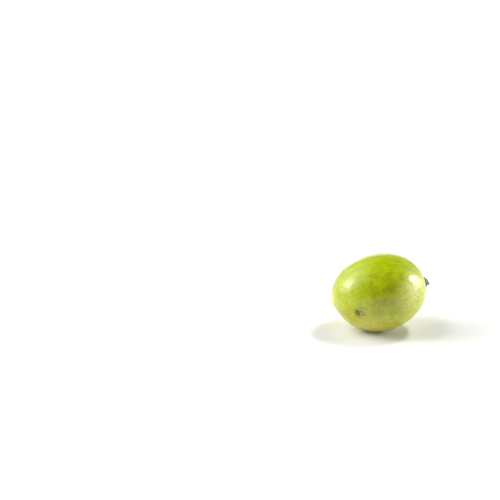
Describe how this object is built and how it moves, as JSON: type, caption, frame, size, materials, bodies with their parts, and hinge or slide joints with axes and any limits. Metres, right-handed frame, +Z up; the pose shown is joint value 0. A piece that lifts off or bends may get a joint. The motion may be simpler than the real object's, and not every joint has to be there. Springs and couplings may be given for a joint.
{
  "type": "ceylon olive",
  "caption": "Whole green Ceylon olive fruit, egg-shaped with a small nipple at its tip, lying on its side with the broken end of its stalk.",
  "frame": {"origin": "centre of the small flat spot on the underside, on the surface that the fruit lies on", "axes": "+Z up; the fruit's long axis lies in the XZ plane, with its pointed tip at -X, hanging 10.6 degrees low, and its stalk end at +X"},
  "size_m": [0.0373, 0.0286, 0.0288],
  "materials": {
    "green_skin": "waxy satin, yellow-green fruit skin",
    "dry_bark": "matt, dry bark of a broken fruit stalk"
  },
  "bodies": {
    "root": {"fruit": "green_skin", "stalk": "dry_bark"}
  },
  "joints": []
}
